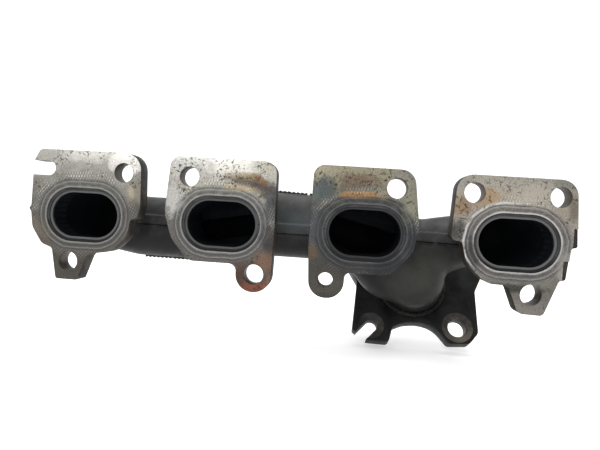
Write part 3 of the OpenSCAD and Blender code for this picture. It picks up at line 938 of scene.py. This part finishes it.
outlet_plate = clean_copy("outlet_flange", "outlet_plate")
broken_edges(outlet_plate, 0.5 * mm)
dress(outlet_plate, (outlet_steel, lambda c, n: True), (spot_steel, on_spotface))
print(outlet_plate.name, len(outlet_plate.data.polygons), "faces")

# %% [markdown]
# ## Gas pipes, slip tubes and mesh rings
# These sit inside the shell and show only through the ports. Their frame shapes are right, so each
# gets a merged copy with smooth shading, which hides the flats between the sections of each bend.

# %% Inner pieces
inner = {"liner_1": "manifold", "liner_2": "manifold", "collector_liner": "manifold", "liner_4": "manifold",
         "slip_tube_1_2": "slip_tube_1_2", "slip_tube_2_3": "slip_tube_2_3"}
inner_pieces = []
for node, body in inner.items():
    piece = clean_copy(node, f"{node}_smooth")
    only(piece)
    bpy.ops.object.shade_smooth_by_angle(angle=math.radians(32))
    piece.data.materials.clear()
    piece.data.materials.append(soot.get(node, soot_deep))
    inner_pieces.append((piece, node, body))
for node in ("mesh_ring_1_2", "mesh_ring_2_3", "mesh_ring_3_4", "outlet_mesh_ring"):
    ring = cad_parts[node]
    ring.data.materials.clear()
    ring.data.materials.append(wire)
print(len(inner_pieces), "inner pieces smoothed, 4 mesh rings dressed")

# %% [markdown]
# ## Joining the pieces to the frame
# Every piece rides on a body of the frame and stands for the frame parts it replaces, which are
# hidden. The two slip tubes ride on their own bodies, because they slide.

# %% Ride and replace
def belongs(piece, body, slot, *nodes):
    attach(piece, body)
    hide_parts(*nodes)


for number, plate in enumerate(flanges, 1):
    belongs(plate, "manifold", "head_flange_steel", f"head_flange_{number}")
for number, made in enumerate(neck_beads, 1):
    belongs(made, "manifold", "weld_metal", f"flange_weld_{number}")
for made in ridges:
    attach(made, "manifold")
belongs(upper, "manifold", "shell_steel", "upper_shell")
belongs(lower, "manifold", "shell_steel", "lower_shell")
belongs(seam_front, "manifold", "weld_metal", "seam_weld_front")
belongs(seam_rear, "manifold", "weld_metal", "seam_weld_rear")
belongs(outlet_bead, "manifold", "weld_metal", "outlet_weld")
belongs(outlet_plate, "manifold", "outlet_flange_steel", "outlet_flange")
for piece, node, body in inner_pieces:
    belongs(piece, body, "gas_pipe_steel", node)

# %% [markdown]
# ## Floor, light and camera
# A pale floor and soft lights keep attention on the metal. The camera looks along the ports' own
# direction, almost level and turned a little to the left.

# %% Floor
bpy.ops.object.select_all(action="DESELECT")
bpy.ops.mesh.primitive_plane_add(size=8, location=(0, 0, frame_box[0].z - 0.5 * mm))
floor = named(done(), "floor")
pick_points(floor, lambda p: p.y > 0)
bpy.ops.mesh.extrude_region_move(TRANSFORM_OT_translate={"value": (0, 0.5, 5)})
bpy.ops.object.mode_set(mode="OBJECT")
plain = Finish("pale_floor")
plain.shader.inputs["Emission Color"].default_value = (1, 1, 1, 1)
plain.shader.inputs["Emission Strength"].default_value = 0.3
floor.data.materials.append(plain.finish((0.9, 0.9, 0.9, 1), 0.9, None, 0.0, 0.1))
print("floor at", round(frame_box[0].z, 4))

# %% Lights
world = bpy.data.worlds.new("soft_room")
bpy.context.scene.world = world
world.use_nodes = True
world.node_tree.nodes["Background"].inputs["Color"].default_value = (1, 1, 1, 1)
world.node_tree.nodes["Background"].inputs["Strength"].default_value = 1.0


def soft_light(name, place, target, size, power):
    data = bpy.data.lights.new(name, "AREA")
    data.shape = "RECTANGLE"
    data.size, data.size_y = size
    data.energy = power
    light = bpy.data.objects.new(name, data)
    bpy.context.scene.collection.objects.link(light)
    light.location = place
    light.rotation_euler = (Vector(target) - Vector(place)).to_track_quat("-Z", "Y").to_euler()


soft_light("front_window", (-0.5, -0.9, 0.75), (0, 0, 0), (0.7, 0.5), 7)
soft_light("top_panel", (0.1, 0.1, 0.9), (0, 0.02, 0), (0.9, 0.5), 5)
print("lights placed")

# %% Camera
lens = bpy.data.cameras.new("camera")
camera = bpy.data.objects.new("camera", lens)
bpy.context.scene.collection.objects.link(camera)
lens.lens = 28.8
lens.sensor_width = 36
ahead = Vector((-0.089, 0.996, -0.026)).normalized()
side = ahead.cross(Vector((-0.064, 0.020, 0.998))).normalized()
above = side.cross(ahead)
turn = Matrix((side, above, -ahead)).transposed().to_4x4()
camera.matrix_world = Matrix.Translation((31.5 * mm, -295.1 * mm, 10.2 * mm)) @ turn
bpy.context.scene.camera = camera
bpy.context.scene.view_settings.view_transform = "Standard"
print("camera set")
